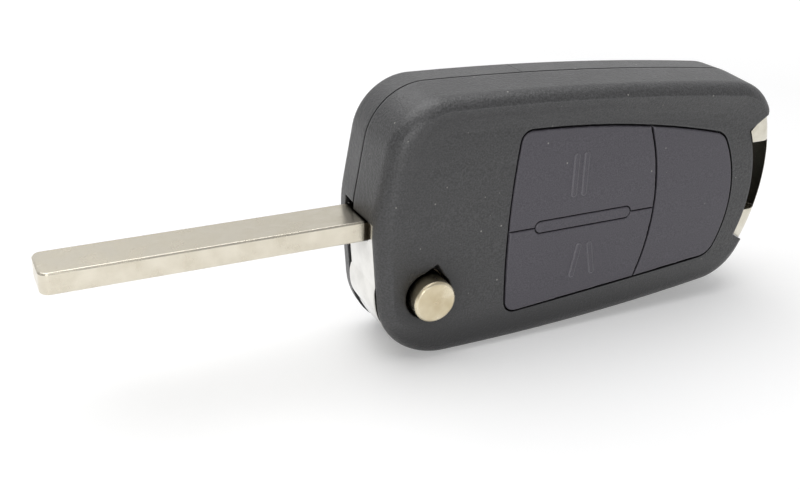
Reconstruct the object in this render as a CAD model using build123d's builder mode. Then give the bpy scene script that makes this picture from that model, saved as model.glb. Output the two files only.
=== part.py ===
from build123d import *
import os
from math import cos, pi, radians, tan

os.makedirs("parts", exist_ok=True)

# Flip key fob case, standing on its long lower edge with the blade swung out.
# X runs along the fob: blade towards -X, key ring loop at +X. Z is up.
# Y is depth: the buttons face -Y, the battery cover +Y.
# The pieces are drawn with X = 0 on the flip axis and Y = 0 where the case parts, and
# leave the file with the origin under the middle of the whole key, on its flat foot.

# Outline of the case, seen on the button side
CASE_HEIGHT = 39.5
TOP_MIDDLE_X = 23.5
TOP_MIDDLE_DROP = 0.75
TOP_END_X = 56.5
TOP_END_DROP = 3.75
BLADE_END_FOOT_X = -6.6
BLADE_END_MIDDLE_X = -8.67
BLADE_END_MIDDLE_Z = 22.0
BLADE_END_TOP_X = -5.85
RING_END_X = 60.65
RING_END_Z = 20.75
LOW_END_X = 54.6
LOW_END_Z = 2.9
LAND_END_X = 7.0
FOOT_FLAT = 0.4
LOW_CORNER_RADIUS = 11.0
BLADE_END_RADIUS = 20.0
TOP_CORNER_RADIUS = 8.6
RING_TOP_RADIUS = 8.8
RING_LOW_RADIUS = 9.0

# Depth of the two halves, and their walls
CREST_DEPTH_TOP = 8.45
CREST_DEPTH_FOOT = 8.0
BACK_DEPTH = 6.1
DRAFT_ANGLE = 2.6
FRONT_EDGE_ROUND = 2.6
BACK_EDGE_ROUND = 1.7
WALL = 1.7
SEAM_GAP = 0.32
COVER_SEAM_X = 17.1
COVER_GAP = 0.12
COVER_WALL = 1.4

# Dished panel that carries the keys: a plane that leans out towards the foot
PANEL_TOP_Z = 35.0
PANEL_TOP_DEPTH = 6.9
PANEL_FOOT_Z = 6.0
PANEL_FOOT_DEPTH = 8.0
PANEL_THICKNESS = 1.5
DISH_BAND = 4.8
DISH_SET_BACK = 1.1
DISH_STEPS = 5
DISH_CORNER_EXTRA = -0.6
DISH_CORNER_LEAST = 2.4
DISH_SHOULDER_RADIUS = 14.0
DISH_RUN_OUT = 12.0
DISH_FOOT_RUN = 2.5
DISH_LEAN = 0.13
CREST_INSET = 0.7

# Flip axis, hub and blade
PIVOT_Z = 10.6
HUB_RADIUS = 7.6
HUB_TOE_RADIUS = 8.9
HUB_REACH = 8.1
HUB_SET_BACK = 0.35
HUB_FRONT_Y = -5.8
HUB_BACK_Y = 2.75
HUB_CLEARANCE = 0.3
SWING_CLEARANCE = 0.3
CHEEK_CLEARANCE = 0.25
BLADE_THICKNESS = 3.05
BLADE_WIDTH = 6.55
BLADE_TOP_RISE = 11.25
BLADE_Y = -0.9
BLADE_LENGTH = 43.1
BLADE_BEVEL = 0.22
BLADE_TIP_ROUND = 1.2
TANG_LENGTH = 7.5
FOLD_ANGLE = 183.5
FIT = 0.02
PIN_RADIUS = 0.75
PIN_INSET = 4.2
PIN_WALL = 0.25
PIN_SLIT = 0.3
PIN_SET_BACK = 0.15
SLOT_BACK_EXTRA = 0.85
BLADE_TOP_GAP = 0.21

# Release button, its plunger and the spring that opens the blade
BUTTON_RADIUS = 3.15
BUTTON_HOLE_RADIUS = 3.6
BUTTON_PROUD = 2.1
BUTTON_TRAVEL = 1.4
BUTTON_EDGE = 0.3
SPIGOT_RADIUS = 1.5
SHAFT_RADIUS = 2.1
RUNNING_FIT = 0.05
LUG_RADIUS = 3.3
LUG_WIDTH = 1.8
LUG_LENGTH = 1.1
LUG_GAP = 0.1
SPIGOT_LENGTH = 3.1
COUNTERBORE_DEPTH = 1.5
FLANGE_RADIUS = 4.3
FLANGE_THICKNESS = 0.7
SPRING_POCKET_RADIUS = 4.9
SPRING_POCKET_DEPTH = 2.1
SPRING_WIRE_RADIUS = 0.25
SPRING_COIL_RADIUS = 3.9
SPRING_TURNS = 2.5
CUP_RADIUS = 4.9
CUP_DEPTH = 1.5
CUP_WALL = 0.3
WASHER_THICKNESS = 0.15
WASHER_RADIUS = 6.6
RELIEF_TIP_X = 1.25
RELIEF_TIP_Z = 4.55
RELIEF_TIP_RADIUS = 0.3
RELIEF_DEPTH = 1.5
RELIEF_TAPER = 25
STOP_RADIUS = 0.9
STOP_REST_X = 0.2
STOP_Z = 20.7
STOP_FRONT_Y = -7.3
STOP_BACK_Y = 4.4

# Keys in the panel
KEY_GAP = 0.3
KEY_PROUD = 0.12
KEY_FLANGE_GAP = 0.05
KEY_FLANGE = 0.6
KEY_FLANGE_THICKNESS = 0.5
KEY_SPLIT_Z = 18.1
KEY_SPLIT_GAP = 0.14
KEY_EDGE_ROUND = 0.2
PAD_TOP_LEFT = (13.85, 33.0)
PAD_TOP_MIDDLE = (30.0, 31.95)
PAD_TOP_RIGHT = (49.6, 28.3)
PAD_RIGHT_MIDDLE = (52.6, 17.2)
PAD_LOW_RIGHT = (49.8, 8.2)
PAD_LOW_MIDDLE = (30.6, 6.55)
PAD_LOW_LEFT = (12.75, 5.2)
PAD_LEFT_MIDDLE = (12.55, 18.0)
PAD_LEFT_RADIUS = 1.7
PAD_RIGHT_RADIUS = 3.2
DIVIDER_X = 37.9
DIVIDER_END_X = 33.8
DIVIDER_Z = 19.3
DIVIDER_REACH = 16.0
DIVIDER_GAP = 0.3
BAR_START_X = 16.9
BAR_END_X = 33.5
BAR_HEIGHT = 1.75
BAR_GAP = 0.12
SIGN_HEIGHT = 0.18
SIGN_WIDTH = 0.8
LOCK_SIGN_X = 23.8
LOCK_SIGN_Z = 25.4
LOCK_SIGN_LENGTH = 6.6
LOCK_SIGN_PITCH = 1.7
UNLOCK_SIGN_X = 25.6
UNLOCK_SIGN_Z = 11.7
UNLOCK_SIGN_LENGTH = 5.4
UNLOCK_SIGN_PITCH = 2.7
UNLOCK_SIGN_LEAN = 11.0

# Rubber mat and board tray under the keys
MAT_DEPTH = 2.25
MAT_THICKNESS = 0.7
MAT_INSET = 0.5
DOME_RADIUS = 2.6
DOME_HEIGHT = 0.6
DOME_TAPER = 30
BAR_ROUND = 0.2
LOCK_DOME = (24.0, 25.4)
UNLOCK_DOME = (25.6, 11.6)
TRAY_GAP = 0.05
TRAY_FLOOR = 0.8
TRAY_DEPTH = 2.4
TRAY_WALL = 0.8
TRAY_INSET = 1.05

# Inside of the case
BAY_LEFT_X = 10.2
BAY_RIGHT_X = 53.5
SLOT_CEILING_GAP = 0.45
SLOT_ROOF = 0.9
SLOT_END_X = 53.4
CHIP_LEFT_X = -3.0
CHIP_RIGHT_X = 8.4
CHIP_LOW_Z = 23.9
CHIP_DEPTH = 5.0
CHIP_COVER_THICKNESS = 0.8
CHIP_COVER_SET_BACK = 0.3
CHIP_COVER_CLEARANCE = 0.1
DECK_Y = 0.25
DECK_THICKNESS = 1.2
DECK_INSET = 1.35
DECK_EAR = 0.6
DECK_CLEARANCE = 0.15
BATTERY_WINDOW = 20.8
BATTERY_X = 34.0
BATTERY_Z = 20.5
BATTERY_WINDOW_ROUND = 1.0
BACK_SKIN = 1.4
TONGUE_THICKNESS = 0.8
TONGUE_WIDTH = 6.0
TONGUE_REACH = 1.6
TONGUE_CLEARANCE = 0.15
TONGUE_ROOT = 0.2
TONGUE_XS = (27.0, 43.5)
SCREW_XS = (20.4, 50.8)
SCREW_DROPS = (3.35, 4.2)
BOSS_RADIUS = 1.5
BOSS_ROOT = 0.4
SCREW_SHANK_RADIUS = 0.65
SCREW_HEAD_RADIUS = 1.25
SCREW_HEAD_HEIGHT = 0.8
SCREW_LENGTH = 4.6
SCREW_CLEARANCE = 0.05
DRIVE_SLOT = 0.35
DRIVE_LENGTH = 1.6

# Key ring loop let into the ring end
NOTCH_TOP = (59.6, 33.6)
NOTCH_TOP_CORNER = (54.75, 28.1)
NOTCH_MIDDLE = (56.7, 18.6)
NOTCH_LOW_CORNER = (54.8, 10.7)
NOTCH_LOW = (60.6, 6.9)
LOOP_GAP = 0.08
LOOP_BAR = 0.9
LOOP_SET_BACK = 0.15
LOOP_FRONT_DEPTH = 7.4
LOOP_BACK_DEPTH = 5.6
LOOP_EDGE_ROUND = 2.2
RING_HOLE_TOP_Z = 26.2
RING_HOLE_LOW_Z = 14.6
TAB_LENGTH = 3.3
TAB_ROOT = 1.6
TAB_HEIGHT = 2.0
TAB_HALF_DEPTH = 1.8
TAB_ZS = (27.2, 12.4)
TAB_CLEARANCE = 0.08

# Derived places
TOP_MIDDLE_Z = CASE_HEIGHT - TOP_MIDDLE_DROP
TOP_END_Z = CASE_HEIGHT - TOP_END_DROP
SCREW_PLACES = (
    (SCREW_XS[0], TOP_MIDDLE_Z - SCREW_DROPS[0]),
    (SCREW_XS[1], TOP_END_Z - SCREW_DROPS[1]),
)
BLADE_TOP_Z = PIVOT_Z + BLADE_TOP_RISE
BLADE_LOW_Z = BLADE_TOP_Z - BLADE_THICKNESS
HUB_LEFT_X = -HUB_REACH
CHEEK_FRONT_Y = HUB_FRONT_Y - CHEEK_CLEARANCE
CHEEK_BACK_Y = HUB_BACK_Y + CHEEK_CLEARANCE
SLOT_FRONT_Y = BLADE_Y - BLADE_WIDTH / 2 - CHEEK_CLEARANCE
SLOT_BACK_Y = BLADE_Y + BLADE_WIDTH / 2 + CHEEK_CLEARANCE
SLOT_TOP_Z = BLADE_TOP_Z + BLADE_TOP_GAP
FOLD_RISE = tan(radians(FOLD_ANGLE - 180))
INNER_BACK_Y = BACK_DEPTH - BACK_SKIN
PIN_Z = (BLADE_TOP_Z + BLADE_LOW_Z) / 2
COUNTERBORE_Y = HUB_FRONT_Y + COUNTERBORE_DEPTH
BUTTON_BACK_Y = HUB_FRONT_Y - LUG_GAP
BUTTON_FACE_Y = -CREST_DEPTH_FOOT - BUTTON_PROUD
FLANGE_Y = HUB_BACK_Y - SPRING_POCKET_DEPTH + FIT
TRAY_TOP = MAT_DEPTH + MAT_THICKNESS + TRAY_GAP
MIDDLE_X = (RING_END_X - LOOP_SET_BACK + HUB_LEFT_X - BLADE_LENGTH) / 2
MIDDLE_Y = (BUTTON_FACE_Y + BACK_DEPTH) / 2
FAR = 100.0
PAST = 1.0


def depth_plane(y):
    """Plane that faces the buttons at depth y: its own x and y are the frame's X and Z."""
    return Plane.XZ.offset(-y)


def leaning_plane(top_z, top_depth, foot_z, foot_depth):
    """Plane through two depths at two heights, facing the buttons, on the frame's X and Z."""
    lean = (foot_depth - top_depth) / (top_z - foot_z)
    start = (0, -(foot_depth + foot_z * lean), 0)
    return Plane(origin=start, x_dir=(1, 0, 0), z_dir=(0, -1, lean))


crest_plane = leaning_plane(CASE_HEIGHT, CREST_DEPTH_TOP, PANEL_FOOT_Z, CREST_DEPTH_FOOT)
panel_plane = leaning_plane(PANEL_TOP_Z, PANEL_TOP_DEPTH, PANEL_FOOT_Z, PANEL_FOOT_DEPTH)


def fold_height(x, rise):
    """Height of the folded blade's face that lies rise from the flip axis, at place x."""
    return PIVOT_Z - rise / cos(radians(FOLD_ANGLE - 180)) + x * FOLD_RISE


# Outline of the whole case
with BuildSketch() as outline:
    with BuildLine():
        land = Line((BLADE_END_FOOT_X, -FOOT_FLAT), (LAND_END_X, -FOOT_FLAT))
        rise = TangentArc(land @ 1, (LOW_END_X, LOW_END_Z), tangent=land % 1)
        ring_end = ThreePointArc(rise @ 1, (RING_END_X, RING_END_Z), (TOP_END_X, TOP_END_Z))
        top_start = (BLADE_END_TOP_X, CASE_HEIGHT)
        top = ThreePointArc(ring_end @ 1, (TOP_MIDDLE_X, TOP_MIDDLE_Z), top_start)
        blade_end = Line(top @ 1, (BLADE_END_MIDDLE_X, BLADE_END_MIDDLE_Z))
        Line(blade_end @ 1, land @ 0)
    make_face()
    fillet(outline.vertices().sort_by_distance(blade_end @ 1)[0], BLADE_END_RADIUS)
    fillet(outline.vertices().sort_by_distance(land @ 0)[0], LOW_CORNER_RADIUS)
    fillet(outline.vertices().sort_by_distance(top_start)[0], TOP_CORNER_RADIUS)
    fillet(outline.vertices().sort_by_distance(ring_end @ 1)[0], RING_TOP_RADIUS)
    fillet(outline.vertices().sort_by_distance(rise @ 1)[0], RING_LOW_RADIUS)


def inset_outline(inset):
    """The case outline, drawn in by inset."""
    with BuildSketch() as smaller:
        add(outline.sketch)
        offset(amount=-inset)
    return smaller.sketch


# Electronics bay, seen on the button side: inside the walls, over the blade slot
ROOF_RISE = BLADE_TOP_RISE - BLADE_THICKNESS - SLOT_CEILING_GAP - SLOT_ROOF
with BuildSketch() as bay:
    add(inset_outline(WALL))
    with BuildLine():
        Polyline(
            (BAY_LEFT_X, fold_height(BAY_LEFT_X, ROOF_RISE)),
            (BAY_RIGHT_X, fold_height(BAY_RIGHT_X, ROOF_RISE)),
            (BAY_RIGHT_X, FAR),
            (BAY_LEFT_X, FAR),
            close=True,
        )
    make_face(mode=Mode.INTERSECT)

with BuildSketch() as chip_bay:
    add(inset_outline(WALL))
    with Locations(((CHIP_LEFT_X + CHIP_RIGHT_X) / 2, CHIP_LOW_Z + FAR / 2)):
        Rectangle(CHIP_RIGHT_X - CHIP_LEFT_X, FAR, mode=Mode.INTERSECT)

# Space that the hub sweeps between the two cheeks
SLOT_RISE = BLADE_TOP_RISE - BLADE_THICKNESS - SLOT_CEILING_GAP
SWEEP_RIGHT_X = HUB_REACH + BLADE_TOP_RISE * FOLD_RISE + SWING_CLEARANCE


def swing_space(top_z):
    """Outline of the swing space, with the slot at the blade end open up to top_z."""
    with BuildSketch() as space:
        with Locations((0, PIVOT_Z)):
            Circle(HUB_TOE_RADIUS + HUB_CLEARANCE)
        with BuildLine():
            Polyline(
                (-FAR, top_z),
                (SWING_CLEARANCE, top_z),
                (SWING_CLEARANCE, PIVOT_Z),
                (SWEEP_RIGHT_X, PIVOT_Z + SWING_CLEARANCE),
                (SWEEP_RIGHT_X, -FAR),
                (-FAR, -FAR),
                close=True,
            )
        make_face()
    return space.sketch


# Slot in the bottom edge that the blade folds into
with BuildSketch() as fold_slot:
    with BuildLine():
        Polyline(
            (0, fold_height(0, SLOT_RISE)),
            (SLOT_END_X, fold_height(SLOT_END_X, SLOT_RISE)),
            (SLOT_END_X, -FAR),
            (0, -FAR),
            close=True,
        )
    make_face()


def notch_outline(shrink=0.0):
    """Notch in the ring end that the key ring loop fills, drawn back by shrink."""
    with BuildSketch() as notch:
        with BuildLine():
            upper = Line(NOTCH_TOP, NOTCH_TOP_CORNER)
            inner = ThreePointArc(upper @ 1, NOTCH_MIDDLE, NOTCH_LOW_CORNER)
            lower = Line(inner @ 1, NOTCH_LOW)
            Polyline(lower @ 1, (FAR, NOTCH_LOW[1]), (FAR, NOTCH_TOP[1]), upper @ 0)
        make_face()
        if shrink > 0:
            offset(amount=-shrink)
    return notch.sketch


def ring_end_area(shift):
    """Area behind the curve of the ring end, moved in by shift."""
    low = (LOW_END_X - shift, LOW_END_Z)
    high = (TOP_END_X - shift, TOP_END_Z)
    with BuildSketch() as area:
        with BuildLine():
            ThreePointArc(low, (RING_END_X - shift, RING_END_Z), high)
            Polyline(high, (0, TOP_END_Z), (0, LOW_END_Z), low)
        make_face()
    return area.sketch


def key_pad(grow=0.0):
    """Outline that the three keys fill together, grown by grow."""
    with BuildSketch() as pad:
        with BuildLine():
            upper = ThreePointArc(PAD_TOP_LEFT, PAD_TOP_MIDDLE, PAD_TOP_RIGHT)
            right = ThreePointArc(upper @ 1, PAD_RIGHT_MIDDLE, PAD_LOW_RIGHT)
            lower = ThreePointArc(right @ 1, PAD_LOW_MIDDLE, PAD_LOW_LEFT)
            ThreePointArc(lower @ 1, PAD_LEFT_MIDDLE, upper @ 0)
        make_face()
        corners = pad.vertices().sort_by(Axis.X)
        fillet(corners[:2], PAD_LEFT_RADIUS)
        fillet(pad.vertices().sort_by_distance(PAD_TOP_RIGHT)[0], PAD_RIGHT_RADIUS)
        fillet(pad.vertices().sort_by_distance(PAD_LOW_RIGHT)[0], PAD_RIGHT_RADIUS)
        if grow:
            offset(amount=grow)
    return pad.sketch


PANEL_SHARE = (PANEL_TOP_Z - PANEL_FOOT_Z) / (CASE_HEIGHT - PANEL_FOOT_Z)
CREST_AT_PANEL = CREST_DEPTH_FOOT + (CREST_DEPTH_TOP - CREST_DEPTH_FOOT) * PANEL_SHARE


def dish_outline(share):
    """Edge of the dish, from the crest at share 0 to its floor at share 1. It keeps to the
    case's outline at the blade end and along the top, and runs out through the ring end."""
    inset = CREST_INSET + DISH_BAND * share
    foot_z = PANEL_FOOT_Z + DISH_FOOT_RUN * share
    corner = (BLADE_END_TOP_X + DISH_SET_BACK + inset, CASE_HEIGHT - inset)
    foot = (corner[0] - (corner[1] - foot_z) * DISH_LEAN, foot_z)
    shoulder = (TOP_END_X - inset, TOP_END_Z - inset)
    corner_radius = max(TOP_CORNER_RADIUS + DISH_CORNER_EXTRA - inset, DISH_CORNER_LEAST)
    with BuildSketch() as dish:
        with BuildLine():
            Line(foot, corner)
            ThreePointArc(corner, (TOP_MIDDLE_X, TOP_MIDDLE_Z - inset), shoulder)
            run_out = (shoulder[0] + DISH_RUN_OUT, shoulder[1] - DISH_RUN_OUT)
            Polyline(shoulder, run_out, (run_out[0], foot_z), foot)
        make_face()
        fillet(dish.vertices().sort_by_distance(corner)[0], corner_radius)
        fillet(dish.vertices().sort_by_distance(shoulder)[0], DISH_SHOULDER_RADIUS - inset)
    return dish.sketch


def dish_plane(drop):
    """Plane between the crest, at drop 0, and the floor of the dish, at drop 1."""
    top_depth = CREST_AT_PANEL + (PANEL_TOP_DEPTH - CREST_AT_PANEL) * drop
    foot_depth = CREST_DEPTH_FOOT + (PANEL_FOOT_DEPTH - CREST_DEPTH_FOOT) * drop
    return leaning_plane(PANEL_TOP_Z, top_depth, PANEL_FOOT_Z, foot_depth)


def tab_boxes(clearance):
    """The two tabs that hold the key ring loop in the case."""
    with BuildPart() as tabs:
        for tab_z in TAB_ZS:
            tab_right = NOTCH_LOW_CORNER[0] + TAB_ROOT
            with Locations((tab_right - TAB_LENGTH / 2, 0, tab_z)):
                Box(
                    TAB_LENGTH + 2 * clearance,
                    2 * (TAB_HALF_DEPTH + clearance),
                    TAB_HEIGHT + 2 * clearance,
                )
    return tabs.part


def rounded_end(depth):
    """The case's end behind its curve, from the parting plane to depth, with its edge rounded."""
    with BuildPart() as end:
        with BuildSketch(Plane.XZ):
            add(ring_end_area(LOOP_SET_BACK))
        extrude(amount=depth, taper=DRAFT_ANGLE)
        fillet(end.faces().sort_by(Axis.Y)[0].edges().sort_by(Axis.X)[-1], LOOP_EDGE_ROUND)
    return end.part


# Space for the electronics in the front shell, closed by the panel
with BuildPart() as front_bay:
    with BuildSketch(depth_plane(PAST)):
        add(bay.sketch)
    extrude(amount=CREST_DEPTH_TOP + PAST)
    with BuildSketch(panel_plane.offset(-PANEL_THICKNESS)):
        Rectangle(2 * FAR, 2 * FAR)
    extrude(amount=FAR, mode=Mode.SUBTRACT)

# Bosses that the two case screws bite in, from the panel to the deck of the back shell
with BuildPart() as screw_bosses:
    with BuildSketch(depth_plane(DECK_Y - SCREW_CLEARANCE)):
        with Locations(*SCREW_PLACES):
            Circle(BOSS_RADIUS)
            Circle(SCREW_SHANK_RADIUS + SCREW_CLEARANCE, mode=Mode.SUBTRACT)
    extrude(amount=PANEL_TOP_DEPTH - PANEL_THICKNESS + DECK_Y + BOSS_ROOT)

# Scoop round the release button, drawn out to a point towards the keys
with BuildPart() as button_relief:
    with BuildSketch(crest_plane) as relief_rim:
        with Locations((0, PIVOT_Z)):
            Circle(BUTTON_HOLE_RADIUS)
        with Locations((RELIEF_TIP_X, PIVOT_Z + RELIEF_TIP_Z)):
            Circle(RELIEF_TIP_RADIUS)
        make_hull()
    extrude(amount=PAST)
    extrude(relief_rim.sketch, amount=-RELIEF_DEPTH, taper=RELIEF_TAPER)

# Front shell: button side of the case
with BuildPart() as front_shell:
    with BuildSketch(depth_plane(-SEAM_GAP / 2)):
        add(outline.sketch)
    extrude(amount=CREST_DEPTH_TOP + PAST, taper=DRAFT_ANGLE)
    with BuildSketch(crest_plane):
        Rectangle(2 * FAR, 2 * FAR)
    extrude(amount=CREST_DEPTH_TOP, mode=Mode.SUBTRACT)
    fillet(front_shell.faces().sort_by(Axis.Y)[0].edges(), FRONT_EDGE_ROUND)
    split(bisect_by=Plane.XY, keep=Keep.TOP)
    # Dish around the keys, deepest along the top and running out towards the foot.
    # Its side falls in a soft curve, level at the crest and at the floor.
    with BuildSketch(crest_plane.offset(PAST)):
        add(dish_outline(0))
    for step in range(DISH_STEPS + 1):
        share = step / DISH_STEPS
        with BuildSketch(dish_plane((1 - cos(pi * share)) / 2)):
            add(dish_outline(share))
    loft(ruled=True, mode=Mode.SUBTRACT)
    # Inside: the electronics bay, the chip pocket and the swing space
    add(front_bay.part, mode=Mode.SUBTRACT)
    with BuildSketch(depth_plane(PAST)):
        add(chip_bay.sketch)
    extrude(amount=CHIP_DEPTH + PAST, mode=Mode.SUBTRACT)
    with BuildSketch(depth_plane(PAST)):
        add(swing_space(SLOT_TOP_Z))
    extrude(amount=PAST - CHEEK_FRONT_Y, mode=Mode.SUBTRACT)
    with BuildSketch(depth_plane(PAST)):
        add(fold_slot.sketch)
    extrude(amount=PAST - SLOT_FRONT_Y, mode=Mode.SUBTRACT)
    # Openings in the button side
    with BuildSketch(panel_plane.offset(-PANEL_THICKNESS - PAST)):
        add(key_pad(KEY_GAP))
    extrude(amount=CREST_DEPTH_TOP, mode=Mode.SUBTRACT)
    with BuildSketch(depth_plane(PAST)):
        with Locations((0, PIVOT_Z)):
            Circle(BUTTON_HOLE_RADIUS)
    extrude(amount=FAR, mode=Mode.SUBTRACT)
    add(button_relief.part, mode=Mode.SUBTRACT)
    # Seat of the key ring loop, and the pin hole
    with BuildSketch(depth_plane(PAST)):
        add(notch_outline())
    extrude(amount=FAR, mode=Mode.SUBTRACT)
    add(tab_boxes(TAB_CLEARANCE), mode=Mode.SUBTRACT)
    with BuildSketch(depth_plane(PAST)):
        with Locations((STOP_RADIUS + STOP_REST_X, STOP_Z)):
            Circle(STOP_RADIUS + FIT)
    extrude(amount=PAST - STOP_FRONT_Y, mode=Mode.SUBTRACT)
    add(screw_bosses.part)

# Blank of the back half, from which back shell and battery cover are cut
with BuildPart() as back_blank:
    with BuildSketch(depth_plane(-SEAM_GAP / 2)):
        add(outline.sketch)
    extrude(amount=BACK_DEPTH - SEAM_GAP / 2, taper=DRAFT_ANGLE)
    fillet(back_blank.faces().sort_by(Axis.Y)[0].edges(), BACK_EDGE_ROUND)
    split(bisect_by=Plane.XY, keep=Keep.TOP)
    mirror(about=Plane.XZ, mode=Mode.REPLACE)

# Deck under the battery cover, with the window for the coin cell
with BuildPart() as deck:
    with BuildSketch(depth_plane(DECK_Y + DECK_THICKNESS)):
        add(bay.sketch)
        offset(amount=-DECK_INSET)
        with Locations(*SCREW_PLACES):
            Circle(SCREW_HEAD_RADIUS + DECK_EAR)
        with BuildSketch(mode=Mode.PRIVATE) as cover_inside:
            add(bay.sketch)
            offset(amount=-DECK_CLEARANCE)
        add(cover_inside.sketch, mode=Mode.INTERSECT)
        with Locations((BATTERY_X, BATTERY_Z)):
            RectangleRounded(
                BATTERY_WINDOW,
                BATTERY_WINDOW,
                BATTERY_WINDOW_ROUND,
                mode=Mode.SUBTRACT,
            )
        with Locations(*SCREW_PLACES):
            Circle(SCREW_SHANK_RADIUS + SCREW_CLEARANCE, mode=Mode.SUBTRACT)
    extrude(amount=DECK_THICKNESS)

# Back shell: blade end of the back half, with the deck that reaches under the cover
with BuildPart() as back_shell:
    add(back_blank.part)
    split(bisect_by=Plane.YZ.offset(COVER_SEAM_X - COVER_GAP / 2), keep=Keep.BOTTOM)
    with BuildSketch(depth_plane(INNER_BACK_Y)):
        add(bay.sketch)
        add(chip_bay.sketch)
        split_wall_x = COVER_SEAM_X - COVER_WALL
        with Locations((split_wall_x - FAR / 2, 0)):
            Rectangle(FAR, FAR, mode=Mode.INTERSECT)
    extrude(amount=INNER_BACK_Y, mode=Mode.SUBTRACT)
    with BuildSketch(depth_plane(CHEEK_BACK_Y)):
        add(swing_space(SLOT_TOP_Z + SLOT_BACK_EXTRA))
    extrude(amount=CHEEK_BACK_Y, mode=Mode.SUBTRACT)
    with BuildSketch(depth_plane(SLOT_BACK_Y)):
        add(fold_slot.sketch)
    extrude(amount=SLOT_BACK_Y, mode=Mode.SUBTRACT)
    with BuildSketch(depth_plane(CHEEK_BACK_Y + CUP_DEPTH)):
        with Locations((0, PIVOT_Z)):
            Circle(CUP_RADIUS + FIT)
    extrude(amount=CUP_DEPTH, mode=Mode.SUBTRACT)
    with BuildSketch(depth_plane(STOP_BACK_Y)):
        with Locations((STOP_RADIUS + STOP_REST_X, STOP_Z)):
            Circle(STOP_RADIUS + FIT)
    extrude(amount=STOP_BACK_Y, mode=Mode.SUBTRACT)
    add(deck.part)

# Tongues of the battery cover, which spring against the top wall of the front shell
with BuildPart() as cover_tongues:
    with BuildSketch(depth_plane(INNER_BACK_Y + TONGUE_ROOT)):
        add(bay.sketch)
        offset(amount=-TONGUE_CLEARANCE)
        with BuildSketch(mode=Mode.PRIVATE) as tongue_core:
            add(bay.sketch)
            offset(amount=-TONGUE_CLEARANCE - TONGUE_THICKNESS)
        add(tongue_core.sketch, mode=Mode.SUBTRACT)
        with Locations(*[(tongue_x, CASE_HEIGHT) for tongue_x in TONGUE_XS]):
            Rectangle(TONGUE_WIDTH, CASE_HEIGHT, mode=Mode.INTERSECT)
    extrude(amount=INNER_BACK_Y + TONGUE_ROOT + TONGUE_REACH)

# Battery cover: ring end of the back half
with BuildPart() as battery_cover:
    add(back_blank.part)
    split(bisect_by=Plane.YZ.offset(COVER_SEAM_X + COVER_GAP / 2), keep=Keep.TOP)
    with BuildSketch(depth_plane(INNER_BACK_Y)):
        add(bay.sketch)
    extrude(amount=INNER_BACK_Y, mode=Mode.SUBTRACT)
    with BuildSketch(depth_plane(SLOT_BACK_Y)):
        add(fold_slot.sketch)
    extrude(amount=SLOT_BACK_Y, mode=Mode.SUBTRACT)
    with BuildSketch(depth_plane(BACK_DEPTH + PAST)):
        add(notch_outline())
    extrude(amount=BACK_DEPTH + PAST, mode=Mode.SUBTRACT)
    add(tab_boxes(TAB_CLEARANCE), mode=Mode.SUBTRACT)
    add(cover_tongues.part)

# Key ring loop: a cast frame that fills the notch and carries on the case's rounded end,
# with two tabs inside the case
with BuildPart() as ring_loop:
    add(rounded_end(LOOP_FRONT_DEPTH))
    add(mirror(rounded_end(LOOP_BACK_DEPTH), about=Plane.XZ))
    with BuildSketch(depth_plane(LOOP_BACK_DEPTH)):
        add(notch_outline(LOOP_GAP))
    extrude(amount=LOOP_BACK_DEPTH + LOOP_FRONT_DEPTH, mode=Mode.INTERSECT)
    with BuildSketch(depth_plane(LOOP_BACK_DEPTH)):
        add(ring_end_area(LOOP_SET_BACK + LOOP_BAR))
        hole_height = RING_HOLE_TOP_Z - RING_HOLE_LOW_Z
        with Locations((FAR / 2, (RING_HOLE_TOP_Z + RING_HOLE_LOW_Z) / 2)):
            Rectangle(FAR, hole_height, mode=Mode.INTERSECT)
    extrude(amount=LOOP_BACK_DEPTH + LOOP_FRONT_DEPTH, mode=Mode.SUBTRACT)
    add(tab_boxes(0))

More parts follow.
